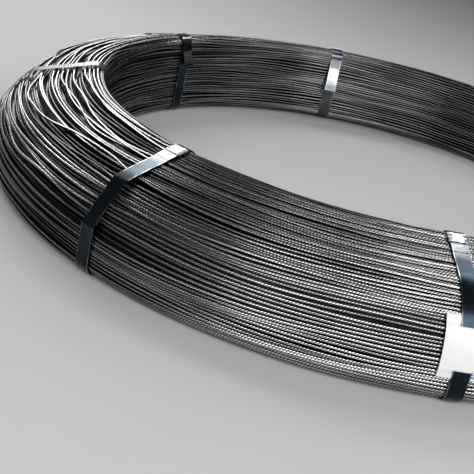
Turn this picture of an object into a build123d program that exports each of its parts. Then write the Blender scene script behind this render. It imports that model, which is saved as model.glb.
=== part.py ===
"""Coil of ribbed spring steel wire, bound by flat steel straps, lying on its side.

Sizes are in millimetres. Z is the axis of the coil, and the coil rests on its straps.
"""

import os
from math import ceil, cos, degrees, pi, radians, sin

from build123d import *

# Winding
bore_radius = 665.0
outer_radius = 900.0
coil_height = 218.0
top_fall = 15.0  # degrees by which the top slopes down from the bore outwards
shoulder_radius = 22.0  # rounding between the bore wall and the top
crown_radius = 150.0  # rounding between the top and the outer wall
foot_radius = 25.0  # rounding at both lower edges

# Wire, and the turns that the winding's surface shows
wire_diameter = 6.0
turn_pitch = 6.8  # from one turn to the next along the skin of the winding
turns_per_groove = 4  # on the top
turns_per_foot_groove = 8  # on the bottom
turns_per_flat = 3  # where the skin turns a tight edge

# Furrows on one side, where the winding is slack and turns have sunk between the others
furrow_azimuth = 180.0
furrow_reach = 50.0  # degrees to either side, where a furrow has run out
furrow_depth = 10.0
furrow_width = 9.0
furrow_floor = 5.0  # width at the bottom
furrows_on_slope = (1,)  # the grooves that they lie in, where the first is 0
furrows_on_crown = (0, 3)

# Flat steel straps
strap_count = 8
strap_width = 32.0
strap_thickness = 0.9
strap_gap = 0.9  # between the strap and the wire
lap_inside = 3.0  # how far the lapped end of a strap shows inside and outside its seal
lap_outside = 26.0

# Crimped seals
seal_length = 24.0
seal_thickness = 1.0
seal_gap = 0.2  # between the seal and the strap that it grips
seal_side_play = 1.2  # between its sides and the strap's edges
seal_foot_gap = 0.25  # between the seal's edges and the wire
seal_setback = -1.0  # from the end of the shoulder to the seal
notch_spacing = 9.5
notch_length = 5.0
notch_depth = 2.4

# Label, threaded over one strap
label_strap = 7
label_width = 84.0
label_length = 108.0
label_thickness = 0.4
label_gap = 0.15  # between the label and what it lies on or under
label_top_margin = 15.0  # from the edge to the slit that the strap comes out of
label_bottom_margin = 10.0
label_slit = 5.0
label_slit_play = 1.0  # from the strap to the edges of the slit
label_rise = 4.0  # from the upright outer wall to the label's lower edge

# Section of the winding, where x is the distance from the axis and y the height
stand_off = strap_gap + strap_thickness  # the straps hold the wire this far off the floor
coil_top = stand_off + coil_height
slope_out = Vector(cos(radians(top_fall)), -sin(radians(top_fall)))
slope_up = Vector(sin(radians(top_fall)), cos(radians(top_fall)))
shoulder_centre = Vector(bore_radius + shoulder_radius, coil_top - shoulder_radius)
inner_foot = Vector(bore_radius + foot_radius, stand_off + foot_radius)
outer_foot = Vector(outer_radius - foot_radius, stand_off + foot_radius)
slope_start = shoulder_centre + slope_up * shoulder_radius
slope_height = slope_start.dot(slope_up)

# The crown leaves room for an upright wall below it and for the seal above it
seal_seat = seal_setback + seal_length + lap_outside
least_wall_top = outer_foot.Y + wire_diameter
height_left = slope_height - outer_radius * slope_up.X - least_wall_top * slope_up.Y
width_left = outer_radius - slope_start.X - seal_seat * slope_out.X
crown = min(crown_radius, height_left / (1 - slope_up.X), width_left / (1 - slope_up.X))
crown_x = outer_radius - crown
crown_centre = Vector(crown_x, (slope_height - crown - crown_x * slope_up.X) / slope_up.Y)
slope_length = (crown_centre + slope_up * crown - slope_start).length
crown_length = crown * radians(90 - top_fall)
bottom_length = outer_foot.X - inner_foot.X


def radial_plane(azimuth):
    """Upright plane through the coil's axis: x is the distance from it and y the height."""
    outward = Vector(cos(radians(azimuth)), sin(radians(azimuth)), 0)
    return Plane(origin=(0, 0, 0), x_dir=outward, z_dir=(outward.Y, -outward.X, 0))


def round_point(centre, radius, angle):
    """Point on a round stretch of the section, at an angle up from level."""
    return centre + Vector(cos(radians(angle)), sin(radians(angle))) * radius


def flats(centre, radius, start, stop, lift=0.0):
    """Points after the first round a tight edge, in flats a few turns wide."""
    count = ceil(radius * radians(abs(stop - start)) / (turns_per_flat * turn_pitch))
    step = (stop - start) / count
    return [round_point(centre, radius + lift, start + step * flat) for flat in range(1, count + 1)]


def grooves(point_at, length, turns):
    """Points after the first of a grooved stretch, where point_at takes distance and lift."""
    count = ceil(length / (turns * turn_pitch))
    step = length / count
    points = []
    for groove in range(count):
        points.append(point_at((groove + 0.5) * step, -wire_diameter / 2))
        points.append(point_at((groove + 1) * step, 0))
    return points


def groove_middle(length, groove):
    """How far along a grooved stretch of the top one of its grooves lies."""
    return (groove + 0.5) * length / ceil(length / (turns_per_groove * turn_pitch))


def slope_point(distance, lift):
    """Point over the sloping top, outwards from the shoulder."""
    return slope_start + slope_out * distance + slope_up * lift


def crown_point(distance, lift):
    """Point over the crown, outwards and down from the sloping top."""
    return round_point(crown_centre, crown + lift, 90 - top_fall - degrees(distance / crown))


def bottom_point(distance, lift):
    """Point under the flat bottom, inwards from the outer foot."""
    return Vector(outer_foot.X - distance, stand_off - lift)


def section_line(lift):
    """Line round the winding's section, at a distance out from it."""
    shoulder_top = flats(shoulder_centre, shoulder_radius, 90, 90 - top_fall, lift)
    Polyline(
        bottom_point(0, lift),
        bottom_point(bottom_length, lift),
        *flats(inner_foot, foot_radius, 270, 180, lift),
        round_point(shoulder_centre, shoulder_radius + lift, 180),
        *flats(shoulder_centre, shoulder_radius, 180, 90, lift),
        *shoulder_top,
        slope_point(slope_length, lift),
    )
    CenterArc(crown_centre, crown + lift, 90 - top_fall, top_fall - 90)
    Polyline(
        crown_point(crown_length, lift),
        round_point(outer_foot, foot_radius + lift, 0),
        *flats(outer_foot, foot_radius, 0, -90, lift),
    )


def furrow(place, lean):
    """Cutter for a furrow at a place on the section, whose skin leans outwards by that many degrees.

    It is a ring that is shifted and tilted, so that on one side of the coil it goes in square to the skin,
    and at the furrow's reach it has left the skin.
    """
    swing = furrow_depth / (1 - cos(radians(furrow_reach)))
    out = Vector(sin(radians(lean)), cos(radians(lean)))
    down = Vector(out.Y, -out.X)
    centre = place + out * (swing - furrow_depth)
    far_side = Vector(-cos(radians(furrow_azimuth)), -sin(radians(furrow_azimuth)), 0)
    tilt = swing * out.Y / centre.X
    ring = Plane(
        origin=far_side * swing * out.X + Vector(0, 0, centre.Y),
        x_dir=far_side + Vector(0, 0, tilt),
        z_dir=Vector(0, 0, 1) - far_side * tilt,
    )
    foot = Vector(centre.X, 0)
    head = foot + out * furrow_depth * 2
    half_foot = down * furrow_floor / 2
    half_head = down * (furrow_width - furrow_floor / 2)
    with BuildPart() as cutter:
        with BuildSketch(Plane(origin=ring.origin, x_dir=ring.x_dir, z_dir=-ring.y_dir)):
            Polygon(foot - half_foot, foot + half_foot, head + half_head, head - half_head, align=None)
        revolve(axis=Axis(ring.origin, ring.z_dir))
    return cutter.part


os.makedirs("parts", exist_ok=True)

# Winding, turned about the coil's axis, with its bore
with BuildPart() as wire_coil:
    with BuildSketch(Plane.XZ):
        with BuildLine():
            Polyline(
                bottom_point(bottom_length, 0),
                *flats(inner_foot, foot_radius, 270, 180),
                round_point(shoulder_centre, shoulder_radius, 180),
                *flats(shoulder_centre, shoulder_radius, 180, 90),
                *flats(shoulder_centre, shoulder_radius, 90, 90 - top_fall),
                *grooves(slope_point, slope_length, turns_per_groove),
                *grooves(crown_point, crown_length, turns_per_groove),
                round_point(outer_foot, foot_radius, 0),
                *flats(outer_foot, foot_radius, 0, -90),
                *grooves(bottom_point, bottom_length, turns_per_foot_groove),
            )
        make_face()
    revolve(axis=Axis.Z)
    for groove in furrows_on_slope:
        distance = groove_middle(slope_length, groove)
        add(furrow(slope_point(distance, 0), top_fall), mode=Mode.SUBTRACT)
    for groove in furrows_on_crown:
        distance = groove_middle(crown_length, groove)
        lean = top_fall + degrees(distance / crown)
        add(furrow(crown_point(distance, 0), lean), mode=Mode.SUBTRACT)
wire_coil.part.label = "wire_coil"
export_step(wire_coil.part, "parts/wire_coil.step")

# Levels over the wire, and places along the sloping top
strap_top = strap_gap + strap_thickness
lap_top = strap_top + strap_thickness
seal_middle = seal_setback + seal_length / 2
lap_middle = seal_middle + (lap_outside - lap_inside) / 2


def slope_plane(azimuth, distance, facing):
    """Plane on the sloping top under a strap, facing up from it or outwards along it."""
    outward = Vector(cos(radians(azimuth)), sin(radians(azimuth)), 0)
    place = slope_point(distance, 0)
    origin = outward * place.X + Vector(0, 0, place.Y)
    along = outward * slope_out.X + Vector(0, 0, slope_out.Y)
    up = outward * slope_up.X + Vector(0, 0, slope_up.Y)
    if facing == "up":
        return Plane(origin=origin, x_dir=along, z_dir=up)
    return Plane(origin=origin, x_dir=up.cross(along), z_dir=along)


def make_strap(name, azimuth):
    """Flat band round the winding's section, with its end lapped over it at the seal."""
    with BuildPart() as strap:
        with BuildSketch(radial_plane(azimuth)):
            for lift, mode in ((strap_top, Mode.ADD), (strap_gap, Mode.SUBTRACT)):
                with BuildLine():
                    section_line(lift)
                make_face(mode=mode)
        extrude(amount=strap_width / 2, both=True)
        with BuildSketch(slope_plane(azimuth, lap_middle, "up").offset(strap_top)):
            Rectangle(lap_inside + seal_length + lap_outside, strap_width)
        extrude(amount=strap_thickness)
    strap.part.label = name
    export_step(strap.part, f"parts/{name}.step")


def make_seal(name, azimuth):
    """Channel folded over both layers of a strap, with crimped notches in its sides."""
    inside_width = strap_width + 2 * seal_side_play
    outside_width = inside_width + 2 * seal_thickness
    inside_height = lap_top + seal_gap - seal_foot_gap
    foot = (Align.CENTER, Align.MIN)
    with BuildPart() as seal:
        with BuildSketch(slope_plane(azimuth, seal_middle, "out").offset(-seal_length / 2)):
            with Locations((0, seal_foot_gap)):
                Rectangle(outside_width, inside_height + seal_thickness, align=foot)
                Rectangle(inside_width, inside_height, align=foot, mode=Mode.SUBTRACT)
        extrude(amount=seal_length)
        with BuildSketch(slope_plane(azimuth, seal_middle, "up")):
            with GridLocations(notch_spacing, outside_width, 2, 2):
                Polygon(
                    (-notch_length / 2, 0),
                    (0, notch_depth),
                    (notch_length / 2, 0),
                    (0, -notch_depth),
                )
        extrude(amount=strap_top, mode=Mode.SUBTRACT)
    seal.part.label = name
    export_step(seal.part, f"parts/{name}.step")


for number in range(1, strap_count + 1):
    strap_azimuth = (number - 1) * 360 / strap_count
    make_strap(f"strap_{number}", strap_azimuth)
    make_seal(f"seal_{number}", strap_azimuth)

# Label: the strap lies over both of its margins and behind its middle
label_over = strap_top + label_gap
label_middle = label_length - label_bottom_margin - label_top_margin - 2 * label_slit
label_stops = [label_rise]
for stretch in (label_bottom_margin, label_slit, label_middle, label_slit, label_top_margin):
    label_stops.append(label_stops[-1] + stretch)
low, low_slit, middle_low, middle_high, high_slit, high = label_stops


def skin_point(rise, lift):
    """Point over the wire, at a distance up from the upright outer wall."""
    if rise <= crown_length:
        return crown_point(crown_length - rise, lift)
    return slope_point(slope_length + crown_length - rise, lift)


def skin_path(start, stop, lift):
    """Line over the wire between two distances up from the upright outer wall."""
    if start < crown_length:
        turn = degrees((min(stop, crown_length) - start) / crown)
        CenterArc(crown_centre, crown + lift, degrees(start / crown), turn)
    if stop > crown_length:
        Line(skin_point(max(start, crown_length), lift), skin_point(stop, lift))


def label_side(lift):
    """One side of the sheet: near the wire at its margins, over the strap between them."""
    under = label_gap + lift
    over = label_over + lift
    skin_path(low, low_slit, under)
    Line(skin_point(low_slit, under), skin_point(middle_low, over))
    skin_path(middle_low, middle_high, over)
    Line(skin_point(middle_high, over), skin_point(high_slit, under))
    skin_path(high_slit, high, under)


label_azimuth = (label_strap - 1) * 360 / strap_count
with BuildPart() as label:
    with BuildSketch(radial_plane(label_azimuth)):
        with BuildLine():
            label_side(0)
            label_side(label_thickness)
            for end in (low, high):
                Line(skin_point(end, label_gap), skin_point(end, label_gap + label_thickness))
        make_face()
    extrude(amount=label_width / 2, both=True)
    with BuildSketch(radial_plane(label_azimuth)):
        for start, stop in ((low_slit, middle_low), (middle_high, high_slit)):
            Polygon(
                skin_point(start - label_slit_play, 0),
                skin_point(start - label_slit_play, label_over + 2 * label_thickness),
                skin_point(stop + label_slit_play, label_over + 2 * label_thickness),
                skin_point(stop + label_slit_play, 0),
                align=None,
            )
    extrude(amount=strap_width / 2 + label_slit_play, both=True, mode=Mode.SUBTRACT)
label.part.label = "label"
export_step(label.part, "parts/label.step")

mean_turn = pi * (bore_radius + outer_radius) / 1e3
print(f"winding {wire_coil.part.volume / 1e9:.4f} m3, mean turn {mean_turn:.2f} m")
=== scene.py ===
# %% [markdown]
# # A coil of ribbed spring steel wire
# Spring steel wire leaves the mill as one length of several kilometres, wound into a ring that weighs
# about a tonne. Eight flat steel straps hold the ring together, each closed by a crimped seal.
# The CAD model gives the ring's size and its straps, seals and label. Here the plain ring is covered with
# the turns of wire that the eye sees, and every piece gets its finish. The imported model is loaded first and
# stays where it is: the new pieces are built round it, in metres.

# %% Load the fixed frame
import math

import bpy
import numpy as np
from mathutils import Matrix, Vector


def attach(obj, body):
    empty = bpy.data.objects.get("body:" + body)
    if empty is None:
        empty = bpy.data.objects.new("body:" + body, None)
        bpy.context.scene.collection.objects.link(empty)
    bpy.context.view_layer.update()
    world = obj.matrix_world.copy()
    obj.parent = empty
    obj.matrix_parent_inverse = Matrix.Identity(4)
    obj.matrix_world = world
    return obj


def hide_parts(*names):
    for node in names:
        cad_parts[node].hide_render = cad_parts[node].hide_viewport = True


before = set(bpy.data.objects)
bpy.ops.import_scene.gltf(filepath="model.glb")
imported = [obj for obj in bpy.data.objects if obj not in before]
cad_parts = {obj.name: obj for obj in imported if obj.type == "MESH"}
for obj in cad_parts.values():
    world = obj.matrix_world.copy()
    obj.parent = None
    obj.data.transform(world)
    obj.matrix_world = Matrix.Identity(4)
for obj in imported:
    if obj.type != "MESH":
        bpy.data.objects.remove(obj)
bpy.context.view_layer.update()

MM = 0.001

# %% [markdown]
# ## The camera
# A photograph shows where its camera was: how far a round ring is flattened gives the height of the eye,
# and how much smaller its far side is gives the distance. The eye was a little under 80 cm above the
# floor, close to the near side of the ring, and the camera was held slightly rolled.

# %% Camera
EYE = Vector((-0.590, -2.155, 0.7928))
AIM = Vector((0.1311, 0.9071, -0.4000)).normalized()
LENS, SENSOR_WIDTH = 70.62, 36
NEAREST, FURTHEST = 0.05, 100
ROLL_SHARES = (0.976, 0.218)

level_right = AIM.cross(Vector((0, 0, 1))).normalized()
level_up = level_right.cross(AIM)
camera_right = (ROLL_SHARES[0] * level_right + ROLL_SHARES[1] * level_up).normalized()
camera_up = camera_right.cross(AIM)


def new_object(name, data):
    thing = bpy.data.objects.new(name, data)
    bpy.context.scene.collection.objects.link(thing)
    return thing


def stand(thing, place, right, up, back):
    """Put a camera or a lamp at its place, with its own axes along these directions."""
    turned = Matrix((right, up, back)).transposed()
    thing.matrix_world = Matrix.Translation(place) @ turned.to_4x4()


camera = new_object("camera", bpy.data.cameras.new("camera"))
camera.data.lens = LENS
camera.data.sensor_width = SENSOR_WIDTH
camera.data.clip_start, camera.data.clip_end = NEAREST, FURTHEST
stand(camera, EYE, camera_right, camera_up, -AIM)
bpy.context.scene.camera = camera
print("camera roll in degrees:", round(math.degrees(math.atan2(ROLL_SHARES[1], ROLL_SHARES[0])), 1))

# %% [markdown]
# ## Short ways to build node trees
# A finish is a tree of shader nodes and a winding is a tree of geometry nodes. Both are wired in the same
# way, so one small class serves them: it adds a node, sets it, and joins its inputs to a number or to
# another node's output. A finish ends in its surface, with a colour, a roughness and a relief.

# %% A helper for node trees
class Tree:
    def __init__(self, tree):
        self.tree = tree

    def add(self, kind, joins=None, **settings):
        """A new node: settings are its options, and joins says what goes into its inputs."""
        node = self.tree.nodes.new(kind)
        for name, value in settings.items():
            setattr(node, name, value)
        for socket, value in (joins or {}).items():
            self.join(value, node.inputs[socket])
        return node

    def geometry(self, kind, joins=None, **settings):
        """The first output of a new geometry node."""
        return self.add("GeometryNode" + kind, joins, **settings).outputs[0]

    def join(self, value, socket):
        if isinstance(value, bpy.types.NodeSocket):
            self.tree.links.new(value, socket)
        else:
            socket.default_value = value

    def math(self, operation, *values):
        return self.add("ShaderNodeMath", dict(enumerate(values)), operation=operation).outputs[0]

    def plus(self, first, second):
        return self.math("ADD", first, second)

    def minus(self, first, second):
        return self.math("SUBTRACT", first, second)

    def times(self, first, second):
        return self.math("MULTIPLY", first, second)

    def scale_add(self, value, scale, offset):
        return self.math("MULTIPLY_ADD", value, scale, offset)

    def vector(self, operation, *values):
        return self.add("ShaderNodeVectorMath", dict(enumerate(values)), operation=operation).outputs[0]

    def scaled(self, vector, share):
        return self.vector("MULTIPLY", vector, self.xyz(share, share, share))

    def xyz(self, x=0.0, y=0.0, z=0.0):
        return self.add("ShaderNodeCombineXYZ", {0: x, 1: y, 2: z}).outputs[0]

    def parts(self, vector):
        return self.add("ShaderNodeSeparateXYZ", {0: vector}).outputs

    def spread(self, value, low, high, to_low=0.0, to_high=1.0, kind="SMOOTHSTEP"):
        """As value goes from low to high, this goes from to_low to to_high."""
        joins = {0: value, 1: low, 2: high, 3: to_low, 4: to_high}
        return self.add("ShaderNodeMapRange", joins, interpolation_type=kind).outputs[0]

    def noise(self, vector, scale, detail=2.0, w=None):
        joins = {"Vector": vector, "Scale": scale, "Detail": detail}
        if w is not None:
            joins["W"] = w
        return self.add("ShaderNodeTexNoise", joins, noise_dimensions="3D" if w is None else "4D").outputs[0]

    def both_ways(self, noise):
        """Noise goes from 0 to 1, mostly near the middle: this makes it swing about nought."""
        return self.scale_add(noise, 4.0, -2.0)

    def blend(self, share, low, high):
        node = self.add("ShaderNodeMix", data_type="RGBA")
        for socket, value in zip((node.inputs[0], node.inputs[6], node.inputs[7]), (share, low, high)):
            self.join(value, socket)
        return node.outputs[2]

    def curve(self, value, points, whole):
        """A smooth curve through points, read at value: it is 1 where they are at whole."""
        node = self.add("ShaderNodeFloatCurve", {1: value})
        line = node.mapping.curves[0]
        line.points[0].location = (0, points[0][1])
        line.points[1].location = (1, points[-1][1])
        for where, height in points[1:-1]:
            line.points.new(where / whole, height)
        for point in line.points:
            point.handle_type = "AUTO_CLAMPED"
        node.mapping.update()
        return node.outputs[0]

    def object_place(self):
        return self.add("ShaderNodeTexCoord").outputs["Object"]

    def stored(self, name):
        """What a winding or a strap has stored on its points under this name."""
        return self.add("ShaderNodeAttribute", attribute_name=name).outputs

    def store(self, geometry, name, value):
        """Keep a value on each point, under a name that a material can read."""
        kind = "FLOAT_VECTOR" if value.type == "VECTOR" else "FLOAT"
        joins = {"Geometry": geometry, "Name": name, "Value": value}
        return self.geometry("StoreNamedAttribute", joins, data_type=kind, domain="POINT")

    def carry(self, geometry, **values):
        """Carry values from a curve's points to the mesh that is made from it."""
        node = self.add("GeometryNodeCaptureAttribute", {"Geometry": geometry})
        for name, value in values.items():
            node.capture_items.new("VECTOR" if value.type == "VECTOR" else "FLOAT", name)
            self.join(value, node.inputs[name])
        return node.outputs


def new_finish(name):
    material = bpy.data.materials.new(name)
    material.use_nodes = True
    return material, Tree(material.node_tree)


def set_surface(material, tree, colour, roughness, relief=None, metallic=1.0):
    """Join a finish to its surface. Relief is what stands up, by how much in metres, and how strongly."""
    surface = tree.tree.nodes["Principled BSDF"]
    for socket, value in (("Base Color", colour), ("Roughness", roughness), ("Metallic", metallic)):
        tree.join(value, surface.inputs[socket])
    if relief:
        bump = tree.add("ShaderNodeBump", dict(zip(("Height", "Distance", "Strength"), relief)))
        tree.join(bump.outputs[0], surface.inputs["Normal"])
    print(f"{material.name}: {len(tree.tree.nodes)} nodes")


# %% [markdown]
# ## The finish of the wire
# The wire is cold drawn and tempered, so it is nearly black, with a thin film of oxide and oil that turns
# here and there to brown, green or violet. Raised ribs run round it in a spiral, with crests rubbed bright.
# They are too fine for faces, with about 800 in each turn, and come from a sine wave of two numbers that
# the winding's nodes store on each point: how far along the wire it is, and how far round the wire.
# Handling rubs only what it can reach. The nodes also store how squarely each point faces out of the coil
# and how deep its turn lies, and both darken the sides of the wires and the turns that have sunk with painted
# shade.
# Curves round the ring paint light and shade: some stretches lighter, others darker.

# %% Finish: ribbed spring steel
RIB_SPACING = 6.0 * MM
RIB_STARTS = 4
RIB_HEIGHT = 0.42 * MM
RIB_CREST = -0.65, 0.10  # where on the wave a rib's crest begins, and where it is full
TONE_STEP, BAND_STEP = 0.83, 0.11  # how far two cloudy patterns move on from one turn to the next

wire_finish, tree = new_finish("ribbed_spring_steel")
way_x, way_y, reach = tree.parts(tree.stored("lay")["Vector"])
turn, share, depth = tree.parts(tree.stored("place")["Vector"])
proud = tree.stored("proud")["Fac"]

spiral = tree.times(tree.math("ARCTAN2", way_y, way_x), RIB_STARTS)
phase = tree.scale_add(reach, 2 * math.pi / RIB_SPACING, spiral)
crest = tree.spread(tree.math("SINE", phase), *RIB_CREST)

azimuth = tree.times(share, 2 * math.pi)
ring_x, ring_y = tree.math("COSINE", azimuth), tree.math("SINE", azimuth)
wire_place = tree.xyz(ring_x, ring_y, tree.times(turn, TONE_STEP))
tone = tree.noise(wire_place, 2.3, 3.0)
band = tree.noise(tree.xyz(ring_x, ring_y, tree.times(turn, BAND_STEP)), 2.0, 1.0)
tint = tree.noise(wire_place, 1.1, 1.0)
speck = tree.noise(tree.object_place(), 420.0, 2.0)
print("rib lead in mm:", round(RIB_SPACING * RIB_STARTS / MM, 1))

# %% Painted light and shade on the wire
SUNK_SHADE_DEPTH = 1.5 * MM, 8.0 * MM  # where painted shade on a sunk turn begins, and where it is full
PAINTED_LIGHT_AND_SHADE_MOST = 1.2
# Zones on the bore wall, the top, the flank and low on the flank. Each has the two turns between which it
# takes over from the one before, and its painted light and shade round the ring as (degrees, share)
PAINTED_LIGHT_AND_SHADE_ROUND = [
    ((0, 0), [(0, 0.6), (30, 0.46), (60, 0.42), (85, 0.55), (110, 0.72), (135, 0.55), (165, 0.5),
        (190, 0.55), (360, 0.6)]),
    ((26, 32), [(0, 0.85), (100, 0.85), (150, 0.95), (165, 1.0), (221, 1.0), (227, 0.2), (238, 0.32),
        (250, 0.72), (258, 0.85), (285, 0.85), (360, 0.85)]),
    ((44, 56), [(0, 0.85), (150, 0.9), (165, 0.95), (221, 0.9), (227, 0.35), (236, 0.58), (246, 0.85),
        (256, 0.92), (285, 0.92), (320, 0.9), (360, 0.85)]),
    ((58, 72), [(0, 0.8), (160, 0.5), (190, 0.3), (215, 0.25), (228, 0.5), (236, 0.85), (246, 1.05),
        (256, 1.2), (300, 1.2), (360, 0.8)]),
]

# Painted light and shade: the curves make some stretches round the ring lighter and others darker
painted_light_and_shade = tree.curve(share, PAINTED_LIGHT_AND_SHADE_ROUND[0][1], 360)
for (first, last), points in PAINTED_LIGHT_AND_SHADE_ROUND[1:]:
    change = tree.minus(tree.curve(share, points, 360), painted_light_and_shade)
    painted_light_and_shade = tree.scale_add(change, tree.spread(turn, first, last), painted_light_and_shade)
painted_light_and_shade = tree.times(painted_light_and_shade, PAINTED_LIGHT_AND_SHADE_MOST)
# Painted shade on sunk turns, times the painted light and shade of the curves
sunk_shade_and_painted_light = tree.times(tree.spread(depth, *SUNK_SHADE_DEPTH, 1.25, 0.1), painted_light_and_shade)
print("zones of wear, from the bore outwards:", len(PAINTED_LIGHT_AND_SHADE_ROUND))

# %% Film, bright crests and relief
VIOLET_FILM, BROWN_FILM = (0.086, 0.074, 0.09, 1), (0.088, 0.081, 0.075, 1)
GREEN_FILM, BRIGHT_STEEL = (0.074, 0.086, 0.077, 1), (0.9, 0.9, 0.91, 1)

film = tree.blend(tree.spread(tint, 0.4, 0.47), VIOLET_FILM, BROWN_FILM)
film = tree.blend(tree.spread(tint, 0.53, 0.6), film, GREEN_FILM)
shade = tree.plus(tree.spread(tone, 0.3, 0.7, 0.6, 1.4), tree.spread(band, 0.35, 0.65, -0.2, 0.3))
# Painted shade: the sides of the wires that face away from the outside of the coil go dark
shade = tree.times(shade, tree.times(sunk_shade_and_painted_light, tree.spread(proud, 0.45, 0.9, 0.04, 1.0)))
shaded_film = tree.scaled(film, shade)
patch = tree.spread(tree.scale_add(speck, 0.5, tone), 0.45, 0.95, 0.3)
# Bright rubbed crests show only on the outward side, under the painted light and shade
reach_and_painted_light = tree.times(sunk_shade_and_painted_light, tree.spread(proud, 0.5, 0.92))
rubbed_crests_and_painted_light = tree.times(tree.times(crest, patch), reach_and_painted_light)
colour = tree.blend(rubbed_crests_and_painted_light, shaded_film, BRIGHT_STEEL)
roughness = tree.spread(tree.plus(speck, tone), 0.7, 1.3, 0.12, 0.2)
set_surface(wire_finish, tree, colour, roughness, (crest, RIB_HEIGHT, 1.0))

# %% [markdown]
# ## The line that the turns follow
# The ring's section is a low D on its side: an upright wall at the bore, a top that falls outwards, a
# round outer flank and a flat underside. Everything on the ring follows this line, so it is made once, as
# a curve, from the same sizes as the CAD model.

# %% The section line
BORE_RADIUS, OUTER_RADIUS = 665.0, 900.0
FLOOR_GAP, HEIGHT = 1.8, 218.0
TOP_FALL = 15.0
SHOULDER, CROWN, FOOT = 22.0, 150.0, 25.0


def section_arc(radius, height, size, start, end):
    """Points of an arc, a degree or so apart, in mm: distance from the ring's axis, and height."""
    angles = np.radians(np.linspace(start, end, max(2, round(abs(end - start) / 1.5) + 1)))
    return np.column_stack((radius + size * np.cos(angles), height + size * np.sin(angles)))


def section_line():
    top = FLOOR_GAP + HEIGHT
    shoulder = section_arc(BORE_RADIUS + SHOULDER, top - SHOULDER, SHOULDER, 180, 90 - TOP_FALL)
    fall, lean = math.tan(math.radians(TOP_FALL)), math.radians(90 - TOP_FALL)
    crown_start = OUTER_RADIUS - CROWN + CROWN * math.cos(lean)
    slope_end = shoulder[-1][1] - fall * (crown_start - shoulder[-1][0])
    crown = section_arc(OUTER_RADIUS - CROWN, slope_end - CROWN * math.sin(lean), CROWN, 90 - TOP_FALL, 0)
    outer_foot = section_arc(OUTER_RADIUS - FOOT, FLOOR_GAP + FOOT, FOOT, 0, -90)
    inner_foot = section_arc(BORE_RADIUS + FOOT, FLOOR_GAP + FOOT, FOOT, -90, -180)
    return np.vstack((shoulder, crown, outer_foot, inner_foot)), [len(shoulder), len(crown)]


outline, (shoulder_count, crown_count) = section_line()
outline = np.roll(outline, 1, axis=0)  # the line starts at the foot of the bore wall and goes up it
closed_line = np.vstack((outline, outline[:1]))
reached = np.concatenate(([0.0], np.cumsum(np.linalg.norm(np.diff(closed_line, axis=0), axis=1))))
LINE_LENGTH = reached[-1]
WALL_END = reached[1]
SLOPE_START, SLOPE_END = reached[shoulder_count], reached[shoulder_count + 1]
CROWN_END = reached[shoulder_count + crown_count]


def line_point(distance):
    """Distance from the ring's axis and height, in mm, of the place so far along the section line."""
    return np.array([np.interp(distance, reached, closed_line[:, axis]) for axis in (0, 1)])


section_curve = bpy.data.curves.new("section_line", "CURVE")
section_curve.dimensions = "3D"
spline = section_curve.splines.new("POLY")
spline.points.add(len(outline) - 1)
for point, (radius, height) in zip(spline.points, outline):
    point.co = (radius * MM, 0, height * MM, 1)
spline.use_cyclic_u = True
section_object = new_object("section_line", section_curve)
print("slope's start and end, crown's end and whole line in mm:",
      [round(float(v), 1) for v in (SLOPE_START, SLOPE_END, CROWN_END, LINE_LENGTH)])

# %% [markdown]
# ## The turns of wire
# One wire goes round and round, and each turn lies beside the last. A helix on a plain cylinder would do
# for a neat spool. Here the turns climb the bore wall, cross the top and go down the flank, so the nodes
# bend a long straight line instead: each of its points looks up its place on the section line and is then
# swung round the axis.
# Turns lie close where the straps are tight. Elsewhere every other one tends to sink between its
# neighbours, and a few stray across the rest and ride over them, most of all on the left of the top. Curves
# say how loose the winding is by the place round the ring and on the section. Under the first strap it is
# nought, so that each turn can have its own chance numbers and still join the next one there.
# The three furrows in the top of the CAD model are followed here, turn by turn.

# %% How loose the winding is
# (degrees round the ring, looseness)
LOOSE_ROUND = [
    (0, 0), (4, 0.14), (60, 0.12), (95, 0.14), (125, 0.4), (150, 0.85), (170, 1.0), (180, 0.9), (195, 1.0),
    (213, 0.95), (222, 0.55), (229, 0.2), (240, 0.13), (300, 0.13), (356, 0.12), (360, 0)]
# (mm along the section line, share of the looseness): first how far turns sink, then how far they stray
SINK_SECTION = [
    (0, 0.18), (120, 0.3), (190, 0.5), (225, 0.9), (330, 1.0), (420, 1.0), (460, 0.8), (500, 0.65),
    (550, 0.4), (600, 0.25), (LINE_LENGTH, 0.18)]
STRAY_SECTION = [
    (0, 0.12), (120, 0.2), (190, 0.15), (230, 0.22), (280, 0.65), (330, 1.0), (400, 1.0), (445, 0.5),
    (500, 0.2), (560, 0.15), (680, 0.15), (LINE_LENGTH, 0.12)]

# Furrows, where turns have sunk deeper side by side, as in the CAD model
FURROW_AZIMUTH, FURROW_REACH, FURROW_DEPTH = 180.0, 50.0, 10.0
FURROW_SIDE = 3.0 * MM, 6.5 * MM  # from its middle: where its floor ends, and where its side does
SLOPE_GROOVES, CROWN_GROOVES = 4, 8


def groove_middle(start, end, grooves, groove):
    return start + (groove + 0.5) * (end - start) / grooves


FURROWS = [groove_middle(SLOPE_START, SLOPE_END, SLOPE_GROOVES, 1),
           groove_middle(SLOPE_END, CROWN_END, CROWN_GROOVES, 0),
           groove_middle(SLOPE_END, CROWN_END, CROWN_GROOVES, 3)]
print("furrows in mm along the section line:", [round(float(v), 1) for v in FURROWS])

# %% [markdown]
# The tree itself: the named inputs come first, so that one tree makes each stretch of the winding. Flow
# lets neighbours drift apart and together as a group, and Bob, Wander, Stray, Sink and Rise are how far a
# single turn may leave its place. What the finish asks for is stored as the attributes lay, place and proud.

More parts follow.
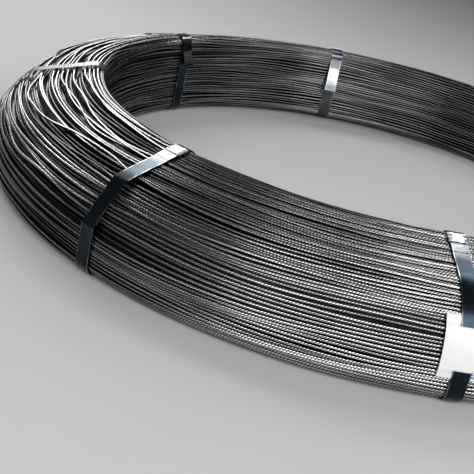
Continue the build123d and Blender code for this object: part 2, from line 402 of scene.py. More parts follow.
# %% Inputs, ends and places of a tree
WINDING_INPUTS = {
    "Section line": "Object",
    "Start on line": 0.0,
    "Pitch": 6.8 * MM,
    "Turns": 10,
    "First turn": 0,
    "Points in a turn": 240,
    "Wire diameter": 6.0 * MM,
    "Wire sides": 8,
    "Depth": 3.0 * MM,
    "Flow": 8.0 * MM,
    "Bob": 2.2 * MM,
    "Wander": 5.0 * MM,
    "Stray": 50.0 * MM,
    "Sink": 12.0 * MM,
    "Sunk at least": 0.0,
    "Rise": 4.0 * MM,
    "Seed": 1,
    "Finish": "Material",
}


def new_geometry_tree(name, inputs):
    """A tree with named inputs, each with its usual value, or where there is none, with its kind."""
    group = bpy.data.node_groups.new(name, "GeometryNodeTree")
    for in_out in ("INPUT", "OUTPUT"):
        group.interface.new_socket("Geometry", in_out=in_out, socket_type="NodeSocketGeometry")
    for socket_name, value in inputs.items():
        kind = value if isinstance(value, str) else "Int" if isinstance(value, int) else "Float"
        socket = group.interface.new_socket(socket_name, in_out="INPUT", socket_type="NodeSocket" + kind)
        if kind != value:
            socket.default_value = value
    tree = Tree(group)
    return tree, tree.add("NodeGroupInput").outputs


SHARP_FROM = math.radians(57)  # faces that meet at more than this keep a sharp edge


def finish_geometry_tree(tree, geometry, finish):
    smooth = tree.geometry("SetShadeSmooth", {"Geometry": geometry}, domain="FACE")
    fold = tree.geometry("InputMeshEdgeAngle")
    sharp = tree.math("GREATER_THAN", fold, SHARP_FROM)
    shaded = tree.geometry("SetShadeSmooth", {
        "Geometry": smooth, "Selection": sharp, "Shade Smooth": False}, domain="EDGE")
    real = tree.geometry("RealizeInstances", {0: shaded})
    done = tree.geometry("SetMaterial", {"Geometry": real, "Material": finish})
    tree.add("NodeGroupOutput", {0: done})
    return tree.tree


def section_place(tree, line_object, along):
    """Place and outward direction on the section line, at a distance along it that may run past its end."""
    line = tree.add("GeometryNodeObjectInfo", {"Object": line_object}).outputs["Geometry"]
    wrapped = tree.math("WRAP", along, LINE_LENGTH * MM, 0.0)
    sample = tree.add("GeometryNodeSampleCurve", {"Curves": line, "Length": wrapped}, mode="LENGTH")
    outward = tree.vector("CROSS_PRODUCT", sample.outputs["Tangent"], (0, 1, 0))
    return sample.outputs["Position"], outward


def straight_line(tree, count):
    """A straight line of so many points, which a tree then bends."""
    line = tree.geometry("CurvePrimitiveLine", {"End": (1, 0, 0)})
    return tree.geometry("ResampleCurve", {"Curve": line, "Count": count})


def sweep(tree, curve, profile):
    joins = {"Curve": curve, "Profile Curve": profile, "Fill Caps": True}
    return tree.geometry("CurveToMesh", joins)


print("inputs of the winding:", len(WINDING_INPUTS))

# %% The winding tree
STRAPS = 8
# A turn with a chance number below the first of these doesn't stray, and one above the second does
STRAY_CHANCE = 0.58, 0.86
SINK_CHANCE, SINK_ODD = (0.80, 0.90), 0.66  # the same for sinking, and what every other turn has on top
TURN_STEP = 3.37  # how far apart the drifts of two neighbours lie in their noise
FLOW_ROUND, FLOW_LENGTH = 1.6, 50 * MM  # how fast the flow changes round the ring, and along the section


def winding_tree():
    tree, given = new_geometry_tree("winding", WINDING_INPUTS)
    count = tree.scale_add(given["Turns"], given["Points in a turn"], 1)
    line = straight_line(tree, count)

    # Which turn a point is on, where it is round the ring, and where on the section line
    index = tree.geometry("InputIndex")
    turn = tree.math("DIVIDE", index, given["Points in a turn"])
    own = tree.plus(tree.math("FLOOR", tree.plus(turn, 1e-4)), given["First turn"])
    share = tree.math("FRACT", turn)
    angle = tree.times(share, 2 * math.pi)
    cosine, sine = tree.math("COSINE", angle), tree.math("SINE", angle)
    along = tree.scale_add(turn, given["Pitch"], given["Start on line"])
    loose_round = tree.curve(share, LOOSE_ROUND, 360)
    line_share = tree.math("DIVIDE", along, LINE_LENGTH * MM)
    loose_to_sink, loose_to_stray = (
        tree.times(loose_round, tree.curve(line_share, points, LINE_LENGTH))
        for points in (SINK_SECTION, STRAY_SECTION)
    )

    # Each turn has its own chance numbers and drifts, told apart by a number
    def chance(number):
        seed = tree.plus(given["Seed"], number)
        return tree.add("FunctionNodeRandomValue", {"ID": own, "Seed": seed}, data_type="FLOAT").outputs[1]

    def drift(scale, number):
        w = tree.scale_add(own, TURN_STEP, number)
        return tree.both_ways(tree.noise(tree.xyz(cosine, sine), scale, 1.0, w))

    def swing_round(vector):
        out, _, up = tree.parts(vector)
        return tree.xyz(tree.times(out, cosine), tree.times(out, sine), up)

    # How far aside a turn lies, and how deep: one that strays doesn't sink
    stray = tree.spread(chance(10), *STRAY_CHANCE)
    side = tree.times(drift(1.6, 0.0), given["Wander"])
    far_side = tree.times(tree.times(drift(2.1, 50.0), given["Stray"]), stray)
    side = tree.times(tree.plus(side, far_side), loose_to_stray)
    rest = tree.minus(1.0, stray)
    odd = tree.math("MODULO", own, 2.0)
    sunk = tree.spread(tree.scale_add(odd, SINK_ODD, chance(20)), *SINK_CHANCE)
    sunk = tree.math("MAXIMUM", tree.times(rest, sunk), given["Sunk at least"])
    sink = tree.times(sunk, given["Sink"])
    bob = tree.times(tree.spread(drift(3.0, 90.0), -1.0, 1.0), given["Bob"])
    depth = tree.scale_add(sink, loose_to_sink, tree.plus(given["Depth"], bob))
    # A stray turn rides over the others, except where the straps hold it down
    between_straps = tree.math("ABSOLUTE", tree.math("SINE", tree.times(angle, STRAPS / 2)))
    over = tree.times(tree.times(stray, loose_to_stray), between_straps)
    depth = tree.minus(depth, tree.times(over, given["Rise"]))

    # Neighbours flow together
    whirl = tree.xyz(tree.times(cosine, FLOW_ROUND), tree.times(sine, FLOW_ROUND),
                     tree.math("DIVIDE", along, FLOW_LENGTH))
    side = tree.scale_add(tree.both_ways(tree.noise(whirl, 1.0, 1.0)), given["Flow"], side)
    along = tree.plus(along, side)

    # Furrows, deepest in their middle and run out to both sides
    swing = FURROW_DEPTH / (1 - math.cos(math.radians(FURROW_REACH))) * MM
    from_middle = tree.math("COSINE", tree.minus(angle, math.radians(FURROW_AZIMUTH)))
    furrow = tree.scale_add(from_middle, swing, FURROW_DEPTH * MM - swing)
    furrow = tree.math("MAXIMUM", furrow, 0.0)
    for place in FURROWS:
        away = tree.math("ABSOLUTE", tree.minus(along, place * MM))
        inside = tree.times(tree.spread(away, *FURROW_SIDE, 1.0, 0.0), rest)
        depth = tree.scale_add(inside, furrow, depth)

    # Every point goes to its place, and keeps what the finish asks for
    spot, outward = section_place(tree, given["Section line"], along)
    swung = swing_round(tree.vector("SUBTRACT", spot, tree.scaled(outward, depth)))
    bent = tree.geometry("SetPosition", {"Geometry": line, "Position": swung})
    number = tree.plus(turn, given["First turn"])
    placed = tree.store(bent, "place", tree.xyz(number, share, depth))
    reach = tree.add("GeometryNodeSplineParameter").outputs["Length"]
    carried = tree.carry(placed, reach=reach, outward=swing_round(outward))

    # A round profile makes the line a wire
    ring = tree.geometry("CurvePrimitiveCircle", {
        "Resolution": given["Wire sides"], "Radius": tree.times(given["Wire diameter"], 0.5)})
    way = tree.vector("NORMALIZE", tree.geometry("InputPosition"))
    profile = tree.carry(ring, way=way)
    way_x, way_y, _ = tree.parts(profile["way"])
    tube = sweep(tree, carried[0], profile[0])
    laid = tree.store(tube, "lay", tree.xyz(way_x, way_y, carried["reach"]))
    facing = tree.geometry("InputNormal")
    proud = tree.add("ShaderNodeVectorMath", {0: facing, 1: carried["outward"]},
                     operation="DOT_PRODUCT").outputs["Value"]
    return finish_geometry_tree(tree, tree.store(laid, "proud", proud), given["Finish"])


winding = winding_tree()
print("winding tree:", len(winding.nodes), "nodes")

# %% [markdown]
# A tree is only a recipe. An object with a Geometry Nodes modifier is what evaluates it, and the result
# is then taken off as a plain mesh. Each input is set through its socket's own identifier.

# %% Turn a tree into a plain piece
def make_piece(name, group, **inputs):
    maker = new_object(name + "_maker", bpy.data.meshes.new(name + "_seed"))
    modifier = maker.modifiers.new("nodes", "NODES")
    modifier.node_group = group
    wanted = {key.replace("_", " "): value for key, value in inputs.items()}
    for item in group.interface.items_tree:
        if item.in_out == "INPUT" and item.name in wanted:
            modifier[item.identifier] = wanted.pop(item.name)
    if wanted:
        raise ValueError(f"{group.name} has no input named {sorted(wanted)}")
    graph = bpy.context.evaluated_depsgraph_get()
    mesh = bpy.data.meshes.new_from_object(maker.evaluated_get(graph), depsgraph=graph)
    mesh.name = name
    bpy.data.meshes.remove(maker.data)  # and its object with it
    piece = new_object(name, mesh)
    triangles = sum(len(face.vertices) - 2 for face in mesh.polygons)
    print(f"{name}: {triangles} triangles")
    return piece


# %% [markdown]
# The outermost turns are made in three stretches, so that no mesh grows too heavy: the bore wall, the top
# with the outer flank, and the underside. Each stretch ends where the next begins, under the first strap.

# %% The outer turns
WIRE_DIAMETER = 6.0
TURN_PITCH = 6.8
SINK_MOST = 6.0
FLANK_END = CROWN_END + 21.6  # some way down the outer wall
STRETCHES = []  # name, start on the section line and pitch in mm, turns, points in a turn
for name, start, end, points in (
    ("turns_bore_wall", 0.0, SLOPE_START, 240),
    ("turns_top_and_flank", SLOPE_START, FLANK_END, 240),
    ("turns_underside", FLANK_END, LINE_LENGTH, 200),
):
    turns = round((end - start) / TURN_PITCH)
    STRETCHES.append((name, start, (end - start) / turns, turns, points))
wire_pieces = []


def wind(name, start, pitch, turns, **inputs):
    wire_pieces.append(make_piece(
        name, winding, Section_line=section_object, Start_on_line=start * MM, Pitch=pitch * MM, Turns=turns,
        Wire_diameter=WIRE_DIAMETER * MM, Sink=SINK_MOST * MM, Finish=wire_finish, **inputs))


next_turn = 0
for name, start, pitch, turns, points in STRETCHES:
    wind(name, start, pitch, turns, First_turn=next_turn, Points_in_a_turn=points, Wire_sides=8,
         Depth=WIRE_DIAMETER / 2 * MM, Seed=3)
    next_turn += turns
print("turns on the outside:", next_turn)

# %% [markdown]
# Under them lies a second layer. Each of its turns rests in the furrow between two outer ones, so it is
# half a pitch off, and as deep as two touching wires allow. It needs fewer faces than the first.
# Deeper still is the rest of the winding, which nobody sees: one plain closed ring, dark as the gaps are.

# %% The turns under them
next_turn = 500  # far from the numbers of the outer turns, so that no two turns are alike
for name, start, pitch, turns, _ in STRETCHES:
    nested = WIRE_DIAMETER / 2 + math.sqrt(WIRE_DIAMETER ** 2 - (pitch / 2) ** 2)
    wind("under_" + name, start + pitch / 2, pitch, turns, First_turn=next_turn, Points_in_a_turn=160,
         Wire_sides=6, Depth=nested * MM, Stray=0.0, Rise=0.0, Sunk_at_least=1.0, Seed=11)
    next_turn += turns
print("depth of the second layer in mm:", round(nested, 2))

# %% The heart of the winding
HEART_DEPTH, HEART_DROP = 11.0, 6.0  # in mm: where the winding is tight, and how much deeper where loose

heart_finish, tree = new_finish("steel_in_shadow")
grain = tree.noise(tree.object_place(), 60.0, 3.0)
dark = tree.blend(grain, (0.008, 0.008, 0.009, 1), (0.020, 0.018, 0.018, 1))
set_surface(heart_finish, tree, dark, 0.7, metallic=0.6)


def new_mesh(name, points, faces, finish):
    mesh = bpy.data.meshes.new(name)
    mesh.from_pydata(points, [], faces)
    mesh.materials.append(finish)
    mesh.polygons.foreach_set("use_smooth", [True] * len(faces))
    return mesh


def heart_ring(columns=180, rows=96):
    """A closed ring inside the turns, deeper where the winding is loose."""
    along = np.linspace(0, LINE_LENGTH, rows, endpoint=False)
    radius, height = line_point(along)
    tangent = np.column_stack([np.roll(values, -1) - np.roll(values, 1) for values in (radius, height)])
    tangent /= np.linalg.norm(tangent, axis=1)[:, None]
    degrees = np.linspace(0, 360, columns, endpoint=False)
    loose = np.outer(np.interp(degrees, *zip(*LOOSE_ROUND)), np.interp(along, *zip(*SINK_SECTION)))
    depth = HEART_DEPTH + HEART_DROP * loose
    ring_radius = radius[None, :] + tangent[None, :, 1] * depth
    ring_height = height[None, :] - tangent[None, :, 0] * depth
    angle = np.radians(degrees)[:, None]
    points = np.stack((ring_radius * np.cos(angle), ring_radius * np.sin(angle), ring_height), axis=2)
    faces = [
        (c * rows + r, c * rows + (r + 1) % rows, ((c + 1) % columns) * rows + (r + 1) % rows,
         ((c + 1) % columns) * rows + r)
        for c in range(columns) for r in range(rows)
    ]
    points = (points.reshape(-1, 3) * MM).tolist()
    return new_mesh("heart_of_the_winding", points, faces, heart_finish)


wire_pieces.append(new_object("heart_of_the_winding", heart_ring()))
for piece in wire_pieces:
    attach(piece, "root")
    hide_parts("wire_coil")
print("pieces of the winding:", len(wire_pieces))

# %% [markdown]
# ## The straps
# Each strap is a strip of steel, 32 mm wide and 0.9 mm thick, blued against rust. A tool pulls it tight
# round the section, laps its ends on the top near the bore and crimps a seal over the lap.
# Stiff strip doesn't lie on a round flank like ribbon. It bends at a few places and stays nearly flat
# between them. It touches midway between two bends, and from there it leaves the round flank by the
# distance squared over twice the radius.
# Beside each seal the blueing gives way to bare steel, partly scraped by the tool and partly painted
# reflection, and that stretch is what shines. On the third and the fourth strap the end that is left over
# points the other way: it hangs over the shoulder into the bore.

# %% Finish: blued strapping
STRAP_WIDTH, STRAP_THICKNESS, STRAP_GAP = 32.0, 0.9, 0.9
BRUSH_ACROSS, BRUSH_ALONG = 900.0, 9.0  # the brush marks are fine across the strap and long along it
BARE_STEEL_AND_PAINTED_REFLECTION, BARE_EDGE = (0.38, 0.39, 0.40, 1), (0.42, 0.44, 0.45, 1)

strap_finish, tree = new_finish("blued_strapping")
across, scraped, along = tree.parts(tree.stored("lay")["Vector"])
object_place = tree.object_place()
brushed = tree.noise(tree.xyz(tree.times(across, BRUSH_ACROSS), tree.times(along, BRUSH_ALONG)), 1.0, 3.0)
cloud = tree.noise(object_place, 11.0, 3.0)
stain = tree.noise(object_place, 38.0, 2.0)
edge = tree.spread(tree.math("ABSOLUTE", across), 0.42, 0.49)
blue = tree.blend(tree.spread(cloud, 0.35, 0.65), (0.013, 0.021, 0.029, 1), (0.030, 0.047, 0.064, 1))
blue = tree.blend(tree.spread(brushed, 0.55, 0.75, 0.0, 0.5), blue, (0.14, 0.155, 0.17, 1))
# Bare steel, partly scraped by the tool and partly painted reflection
bare_and_painted_reflection = tree.times(scraped, tree.spread(tree.plus(brushed, stain), 0.7, 1.2, 0.35, 0.75))
blue = tree.blend(bare_and_painted_reflection, blue, BARE_STEEL_AND_PAINTED_REFLECTION)
worn_edge = tree.times(edge, tree.spread(stain, 0.4, 0.6, 0.1, 0.6))
blue = tree.blend(worn_edge, blue, BARE_EDGE)
roughness = tree.spread(tree.plus(cloud, brushed), 0.7, 1.3, 0.16, 0.28)
dents = tree.scale_add(brushed, 0.05, tree.noise(object_place, 24.0, 1.0))
set_surface(strap_finish, tree, blue, roughness, (dents, 1.2 * MM, 0.6))

# %% The strap tree
LAP_CLIMB = 6.0
SCRAPED_AND_PAINTED_REFLECTION = 22.0, 62.0  # from the middle of a seal: where the bare steel, partly tool marks and partly painted reflection, begins to fade, and where it ends
PAINTED_SEAL_EDGE_SHADOW = 15.5, 18.5  # from the middle of a seal: where the painted shadow at its edge gives way, and where bare steel is full
TAIL_SCRAPED_AND_PAINTED_REFLECTION = (0.18, 0.32), (0.60, 0.98)  # where the bare steel and painted reflection on a tail come, and where they go
SEAL_LENGTH, SEAL_SETBACK = 24.0, -1.0
SLOPE_SEAT = SLOPE_START + SEAL_SETBACK + SEAL_LENGTH / 2  # the middle of a seal on the section line
CROWN_LENGTH = CROWN_END - SLOPE_END
STRAP_INPUTS = {
    "Section line": "Object",
    "Azimuth": 0.0,
    "Width": STRAP_WIDTH * MM,
    "Thickness": STRAP_THICKNESS * MM,
    "Lift": (STRAP_GAP + STRAP_THICKNESS / 2) * MM,
    "Flats on flank": 2.0,
    "Stiffness": 0.8,
    "Lap start": (SLOPE_SEAT - 15.0) * MM,
    "Lap end": (SLOPE_SEAT + 38.0) * MM,
    "Tail inside": 0.0,
    "Tail spring": 0.0,
    "Tail lean": 0.0,
    "ScrapedAndPaintedReflection": 0.7,
    "PaintedReflectionAllAlong": 0.0,
    "Points": 320,
    "Finish": "Material",
}


def strap_tree():
    tree, given = new_geometry_tree("strap", STRAP_INPUTS)
    start = given["Lap start"]
    whole = tree.plus(start, LINE_LENGTH * MM)
    length = tree.minus(tree.plus(given["Lap end"], LINE_LENGTH * MM), start)
    line = straight_line(tree, given["Points"])
    share = tree.add("GeometryNodeSplineParameter").outputs["Factor"]
    along = tree.scale_add(share, length, start)

    # Between two bends the strip stays straight, and so stands off the round flank
    flank = tree.spread(along, SLOPE_END * MM, CROWN_END * MM, 0.0, given["Flats on flank"], "LINEAR")
    from_touch = tree.math("ABSOLUTE", tree.minus(flank, tree.math("ROUND", flank)))
    flat = tree.math("DIVIDE", CROWN_LENGTH * MM, given["Flats on flank"])
    from_touch = tree.times(from_touch, flat)
    bow = tree.math("DIVIDE", tree.times(from_touch, from_touch), 2 * CROWN * MM)
    lift = tree.scale_add(bow, given["Stiffness"], given["Lift"])

    # One end laps over the other: the last one as a rule, or the first one where the tail hangs inside
    lap_climb_start = tree.minus(whole, LAP_CLIMB * MM)
    last_over = tree.spread(along, lap_climb_start, whole, 0.0, given["Thickness"])
    lap_climb_end = tree.plus(given["Lap end"], LAP_CLIMB * MM)
    first_over = tree.spread(along, given["Lap end"], lap_climb_end, given["Thickness"], 0.0)
    swap = tree.minus(first_over, last_over)
    lift = tree.plus(lift, tree.scale_add(swap, given["Tail inside"], last_over))
    hang = tree.spread(along, start, WALL_END * MM, 1.0, 0.0, "LINEAR")
    hang = tree.times(tree.math("POWER", hang, 1.1), given["Tail inside"])
    lift = tree.scale_add(hang, given["Tail spring"], lift)

    # Bare steel lies beside the seal, partly scraped by the tool and partly painted reflection, but a painted
    # shadow keeps the strip at the seal's edge dark; the upper part of a tail that hangs inside gets bare
    # steel and painted reflection too
    wrapped = tree.math("WRAP", along, LINE_LENGTH * MM, 0.0)
    from_seat = tree.math("ABSOLUTE", tree.minus(wrapped, SLOPE_SEAT * MM))
    scraped = tree.spread(from_seat, SCRAPED_AND_PAINTED_REFLECTION[0] * MM, SCRAPED_AND_PAINTED_REFLECTION[1] * MM, given["ScrapedAndPaintedReflection"], 0.0)
    # Painted shadow: the strip next to the seal's edge keeps its dark blueing
    scraped = tree.times(scraped, tree.spread(from_seat, PAINTED_SEAL_EDGE_SHADOW[0] * MM, PAINTED_SEAL_EDGE_SHADOW[1] * MM))
    come, go = TAIL_SCRAPED_AND_PAINTED_REFLECTION
    mid_tail = tree.times(tree.spread(hang, *come), tree.spread(hang, *go, 1.3, 0.1))
    # A strap's painted reflection all along lightens it everywhere
    scraped = tree.math("MAXIMUM", scraped, tree.math("MAXIMUM", mid_tail, given["PaintedReflectionAllAlong"]))

    # The line is bent, swept with the strip's own section and swung to its place round the ring
    spot, outward = section_place(tree, given["Section line"], along)
    placed = tree.vector("ADD", spot, tree.scaled(outward, lift))
    placed = tree.vector("ADD", placed, tree.xyz(y=tree.times(hang, given["Tail lean"])))
    bent = tree.geometry("SetPosition", {"Geometry": line, "Position": placed})
    faced = tree.geometry("SetCurveNormal", {"Curve": bent, "Normal": outward}, mode="FREE")
    reach = tree.add("GeometryNodeSplineParameter").outputs["Length"]
    carried = tree.carry(faced, reach=reach, scraped=scraped)
    strip = tree.geometry("CurvePrimitiveQuadrilateral", {
        "Width": given["Thickness"], "Height": given["Width"]})
    strip = tree.geometry("SubdivideCurve", {"Curve": strip, "Cuts": 1})
    across = tree.parts(tree.geometry("InputPosition"))[1]
    profile = tree.carry(strip, across=tree.math("DIVIDE", across, given["Width"]))
    band = sweep(tree, carried[0], profile[0])
    laid = tree.store(band, "lay", tree.xyz(profile["across"], carried["scraped"], carried["reach"]))
    turned = tree.geometry("Transform", {"Geometry": laid, "Rotation": tree.xyz(z=given["Azimuth"])})
    return finish_geometry_tree(tree, turned, given["Finish"])


strap_group = strap_tree()
print("strap tree:", len(strap_group.nodes), "nodes")

# %% The eight straps
# Flats on the flank and stiffness of each strap, as pulled; the seventh lies flat under its label
BENDS = [(2, 0.5), (3, 0.6), (2, 0.7), (3, 0.8), (2, 0.6), (2, 0.85), (2, 0.0), (2, 0.4)]
# What sets some straps apart: the tails of the third and fourth hang into the bore, and the third is
# lightened all along with painted reflection
APART = {
    3: dict(Tail_inside=1.0, Lap_start=76 * MM, Lap_end=(SLOPE_SEAT + 15) * MM, Tail_spring=28 * MM,
            Tail_lean=3 * MM, PaintedReflectionAllAlong=0.35),
    4: dict(Tail_inside=1.0, Lap_start=112 * MM, Lap_end=(SLOPE_SEAT + 15) * MM, Tail_spring=11 * MM,
            Tail_lean=-10 * MM),
    6: dict(ScrapedAndPaintedReflection=1.0),
    7: dict(ScrapedAndPaintedReflection=0.75),
}

for number, (flats, stiffness) in enumerate(BENDS, start=1):
    strap = make_piece(
        f"strap_band_{number}", strap_group, Section_line=section_object,
        Azimuth=math.radians(360 / STRAPS * (number - 1)), Flats_on_flank=float(flats),
        Stiffness=stiffness, Finish=strap_finish, **APART.get(number, {}),
    )
    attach(strap, "root")
    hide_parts(f"strap_{number}")

# %% [markdown]
# ## The seals
# A seal is a short sleeve of bright galvanised sheet, folded round the lapped strap. The crimping tool
# bites both its edges in two places, so its outline is scalloped and its lips stand up beside each bite.
# One seal is made as a mesh of its own, on the first strap. A small tree then swings it round to all
# eight, and its instances are made real at the end.

# %% Finish: galvanised seal
seal_finish, tree = new_finish("galvanised_seal")
object_place = tree.object_place()
spangle = tree.add("ShaderNodeTexVoronoi", {"Vector": object_place, "Scale": 260.0}).outputs["Distance"]
scuff = tree.noise(object_place, 130.0, 3.0)
zinc = tree.blend(tree.spread(spangle, 0.1, 0.7), (0.64, 0.65, 0.66, 1), (0.46, 0.48, 0.50, 1))
zinc = tree.blend(tree.spread(scuff, 0.56, 0.68, 0.0, 0.7), zinc, (0.17, 0.18, 0.19, 1))
roughness = tree.spread(scuff, 0.3, 0.7, 0.26, 0.46)
set_surface(seal_finish, tree, zinc, roughness, (scuff, 0.3 * MM, 0.7))

# %% One seal
SEAL_HALF_WIDTH, SEAL_ROOF, SEAL_FOOT, SEAL_SHEET, SEAL_CORNER = 18.2, 3.9, 0.25, 1.0, 1.3
BITES, BITE_LENGTH, BITE_DEPTH, BITE_DENT = (-4.75, 4.75), 5.0, 2.4, 0.7
BITE_FROM, BITE_WIDTH = 8.0, 7.0  # across the strap: where a bite begins, and how soon it is full
LIP_AWAY, LIP_WIDTH, LIP_RISE = 0.9, 1.1, 0.8


def seal_profile(inset):
    """The sleeve's cross-section from foot to foot over the roof, in mm: across the strap, and height."""
    side, roof, corner = SEAL_HALF_WIDTH - inset, SEAL_ROOF - inset, SEAL_CORNER - 0.8 * inset
    half = [(side, SEAL_FOOT), (side, 1.0), (side, roof - corner), (side - 0.3 * corner, roof - 0.3 * corner),
            (side - corner, roof), (12.5, roof), (9.0, roof), (5.0, roof)]
    return np.array([(-y, z) for y, z in half] + [(0.0, roof)] + half[::-1])


def crimp(along, across, height):
    """Bitten edges: pulled in at each bite, with lips standing up beside it."""
    edge = np.clip((abs(across) - BITE_FROM) / BITE_WIDTH, 0, 1) ** 2
    for bite in BITES:
        away = abs(along - bite)
        pulled = np.clip(1 - away / (BITE_LENGTH / 2), 0, 1) ** 0.6
        lip = np.exp(-((away - BITE_LENGTH / 2 - LIP_AWAY) / LIP_WIDTH) ** 2)
        across = across - np.sign(across) * edge * BITE_DEPTH * pulled
        height = height + edge * (LIP_RISE * lip - BITE_DENT * pulled) * (height > 1.5)
    return across, height


def seal_mesh():
    """The seal of the first strap, on the slope."""
    stations = np.linspace(-SEAL_LENGTH / 2, SEAL_LENGTH / 2, 51)
    loop = np.vstack((seal_profile(0.0), seal_profile(SEAL_SHEET)[::-1]))
    down = line_point(SLOPE_END) - line_point(SLOPE_START)
    down /= np.linalg.norm(down)
    out = np.array([-down[1], down[0]])
    points = []
    for station in stations:
        across, height = crimp(station, *loop.T)
        radius, level = (line_point(SLOPE_SEAT) + down * station + height[:, None] * out).T
        points += zip(radius * MM, across * MM, level * MM)
    count = len(loop)
    faces = [
        (s * count + p, (s + 1) * count + p, (s + 1) * count + (p + 1) % count, s * count + (p + 1) % count)
        for s in range(len(stations) - 1) for p in range(count)
    ]
    half = count // 2
    for s in (0, len(stations) - 1):
        cap = [(s * count + p, s * count + p + 1, s * count + count - 2 - p, s * count + count - 1 - p)
               for p in range(half - 1)]
        faces += [face[::-1] for face in cap] if s else cap
    mesh = bpy.data.meshes.new("one_seal")
    mesh.from_pydata(points, [], faces)
    print("one seal:", len(faces), "faces")
    return mesh


# %% The seals round the ring
def round_tree():
    tree, given = new_geometry_tree("round_the_ring", {
        "Original": "Object", "Count": STRAPS, "Finish": "Material"})
    source = tree.add("GeometryNodeObjectInfo", {"Object": given["Original"]}).outputs["Geometry"]
    spots = tree.geometry("MeshLine", {"Count": given["Count"], "Offset": (0, 0, 0)})
    number = tree.geometry("InputIndex")
    angle = tree.math("DIVIDE", tree.times(number, 2 * math.pi), given["Count"])
    copies = tree.geometry("InstanceOnPoints", {
        "Points": spots, "Instance": source, "Rotation": tree.xyz(z=angle)})
    return finish_geometry_tree(tree, copies, given["Finish"])


original = new_object("original", seal_mesh())
seals = make_piece("seals", round_tree(), Original=original, Count=STRAPS, Finish=seal_finish)
bpy.data.objects.remove(original)
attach(seals, "root")
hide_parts(*(f"seal_{number}" for number in range(1, STRAPS + 1)))

# %% [markdown]
# ## The label
# A sheet of white coated paper hangs on the seventh strap, which runs through two slits in it, so the
# sheet's middle lies over the strap and its two ends lie under it. The sheet is a grid of points: each
# row sits at its place down the flank, and each point is lifted off the turns by as much as the strap or
# the paper's own curl needs. The two slits are left open in the grid, and a Solidify modifier gives it its
# thickness. A few plain rules are printed on it: rectangles, told by the place on the sheet.

# %% Finish: coated paper
# Left, right, low and high edge as shares of the sheet, and ink
RULES = [
    (0.30, 0.94, 0.045, 0.080, (0.05, 0.22, 0.50, 1)), (0.58, 0.94, 0.100, 0.112, (0.07, 0.25, 0.50, 1)),
    (0.66, 0.92, 0.150, 0.158, (0.35, 0.38, 0.42, 1)), (0.66, 0.92, 0.175, 0.183, (0.35, 0.38, 0.42, 1)),
]
label_finish, tree = new_finish("coated_paper")
sheet_place = tree.parts(tree.add("ShaderNodeUVMap", uv_map="UVMap").outputs[0])
object_place = tree.object_place()


def ruled(tree, place, left, right, low, high):
    """1 inside a rectangle of the sheet, 0 outside it."""
    inside = [tree.math("GREATER_THAN", place[0], left), tree.math("LESS_THAN", place[0], right),
              tree.math("GREATER_THAN", place[1], low), tree.math("LESS_THAN", place[1], high)]
    return tree.times(tree.times(*inside[:2]), tree.times(*inside[2:]))


paper = tree.blend(tree.noise(object_place, 30.0, 3.0), (0.86, 0.865, 0.87, 1), (0.80, 0.805, 0.81, 1))
for *edges, ink in RULES:
    paper = tree.blend(tree.times(ruled(tree, sheet_place, *edges), 0.9), paper, ink)
cockle = tree.noise(object_place, 22.0, 1.0)
set_surface(label_finish, tree, paper, 0.38, (cockle, 1.0 * MM, 0.5), metallic=0.0)

# %% The sheet
LABEL_HALF_WIDTH, LABEL_SHEET = 42.0, 0.4
LABEL_ROWS = (4.0, 14.0, 19.0, 92.0, 97.0, 112.0)  # mm up the crown from the outer wall's top
SLIT_HALF_WIDTH = 17.5
LOW_LIFT, HIGH_LIFT, SIDE_DROP = 0.35, 2.15, 0.35
CURL, CURL_FROM, CURL_HEIGHT = 2.2, 20.0, 60.0


def label_lift(across, up):
    """How far the sheet stands off the turns, in mm, at a place on it."""
    rise = np.interp(up, LABEL_ROWS[1:-1], (0, 1, 1, 0))
    beside = np.clip((abs(across) - SLIT_HALF_WIDTH) / (LABEL_HALF_WIDTH - SLIT_HALF_WIDTH), 0, 1)
    to_side = np.clip((-across - CURL_FROM) / (LABEL_HALF_WIDTH - CURL_FROM), 0, 1)
    curl = CURL * to_side ** 2 * np.clip((up - CURL_FROM) / CURL_HEIGHT, 0, 1)
    return LOW_LIFT + (HIGH_LIFT - LOW_LIFT) * rise * (1 - SIDE_DROP * beside) + curl


def in_slit(across, up):
    _, low, low_end, high, high_end, _ = LABEL_ROWS
    return abs(across) < SLIT_HALF_WIDTH and (low < up < low_end or high < up < high_end)


def label_object():
    columns = np.unique(np.concatenate((np.linspace(-LABEL_HALF_WIDTH, LABEL_HALF_WIDTH, 43),
                                        (-SLIT_HALF_WIDTH, SLIT_HALF_WIDTH))))
    rows = np.unique(np.concatenate([np.linspace(a, b, max(2, round((b - a) / 2.5) + 1))
                                     for a, b in zip(LABEL_ROWS, LABEL_ROWS[1:])]))
    points, places = [], []
    for up in rows:
        angle = up / CROWN
        base = OUTER_RADIUS - CROWN + CROWN * math.cos(angle)
        level = outline[shoulder_count + crown_count][1] + CROWN * math.sin(angle)
        for across in columns:
            lift = label_lift(across, up)
            radius = base + lift * math.cos(angle)
            points.append((across * MM, -radius * MM, (level + lift * math.sin(angle)) * MM))
            places.append(((across + LABEL_HALF_WIDTH) / (2 * LABEL_HALF_WIDTH),
                           (up - rows[0]) / (rows[-1] - rows[0])))
    wide = len(columns)
    faces = [
        (r * wide + c, r * wide + c + 1, (r + 1) * wide + c + 1, (r + 1) * wide + c)
        for r in range(len(rows) - 1) for c in range(wide - 1)
        if not in_slit((columns[c] + columns[c + 1]) / 2, (rows[r] + rows[r + 1]) / 2)
    ]
    mesh = new_mesh("label_sheet", points, faces, label_finish)
    spread_out = mesh.uv_layers.new(name="UVMap")
    for loop in mesh.loops:
        spread_out.data[loop.index].uv = places[loop.vertex_index]
    sheet = new_object("label_sheet", mesh)
    thicker = sheet.modifiers.new("thickness", "SOLIDIFY")
    thicker.thickness, thicker.offset = LABEL_SHEET * MM, 0.0
    return sheet


label = label_object()
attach(label, "root")
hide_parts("label")
print("label faces:", len(label.data.polygons))

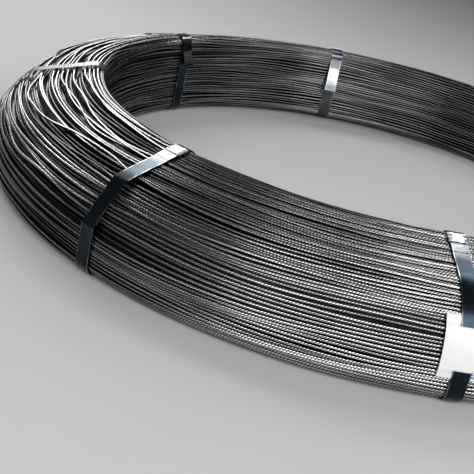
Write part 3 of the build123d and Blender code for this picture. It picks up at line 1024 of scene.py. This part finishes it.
# %% [markdown]
# ## Floor and light
# The floor is plain and pale, and the light is soft. Wire shines only where a lamp and the eye lie equally
# far to both sides of it, so each lamp lights its own stretch of the ring. The two at the front draw the
# lines on the near side, and the one behind and the one on the left draw those on the loose left of the
# top. The three small ones above give the straps and seals their bright places.
# Together they light the floor to about the colour that it is written in.

# %% Floor and light
FLOOR_SIZE = 120.0
floor_finish, tree = new_finish("pale_floor")
mottle = tree.noise(tree.object_place(), 1.5, 3.0)
pale = tree.blend(mottle, (0.50, 0.50, 0.495, 1), (0.54, 0.54, 0.535, 1))
set_surface(floor_finish, tree, pale, 0.8, metallic=0.0)

corners = [(FLOOR_SIZE / 2 * x, FLOOR_SIZE / 2 * y, 0) for x, y in ((-1, -1), (1, -1), (1, 1), (-1, 1))]
floor = new_object("floor", new_mesh("floor", corners, [(0, 1, 2, 3)], floor_finish))

world = bpy.data.worlds.new("studio")
bpy.context.scene.world = world
world.use_nodes = True
backdrop = world.node_tree.nodes["Background"]
backdrop.inputs["Color"].default_value = (0.90, 0.91, 0.92, 1)
backdrop.inputs["Strength"].default_value = 0.16


def lamp(name, place, aim, size, glow):
    """A soft lamp whose width lies along X; glow is how bright its face looks, where 1 is white."""
    data = bpy.data.lights.new(name, "AREA")
    data.shape = "RECTANGLE"
    data.size, data.size_y = size
    data.energy = glow * math.pi * size[0] * size[1]
    light = new_object(name, data)
    away = (Vector(place) - Vector(aim)).normalized()
    height = away.cross(Vector((1, 0, 0))).normalized()
    stand(light, place, height.cross(away), height, away)
    light.visible_camera = False


lamp("lamp_behind", (-1.50, 4.6, 1.9), (-0.7, 0.0, 0.1), (2.2, 1.5), 5.5)
lamp("lamp_over_left", (-1.0, 1.74, 2.14), (-0.52, -0.52, 0.21), (0.4, 0.8), 12.0)
lamp("lamp_left", (-2.08, 1.60, 1.85), (-0.73, -0.47, 0.15), (0.9, 0.7), 9.0)
lamp("lamp_over_right", (0.99, 0.7, 2.6), (0.0, -0.8, 0.2), (0.9, 0.6), 8.0)
lamp("lamp_far_right", (1.37, 1.69, 2.24), (-0.49, 0.49, 0.21), (0.5, 0.5), 11.0)
lamp("lamp_front_right", (0.45, -2.9, 1.85), (0.0, -0.87, 0.12), (2.5, 1.7), 4.3)
lamp("lamp_front_left", (-1.6, -2.9, 2.2), (-0.3, -0.8, 0.12), (1.5, 2.2), 3.2)

bpy.context.scene.view_settings.view_transform = "Standard"
bpy.data.objects.remove(section_object)
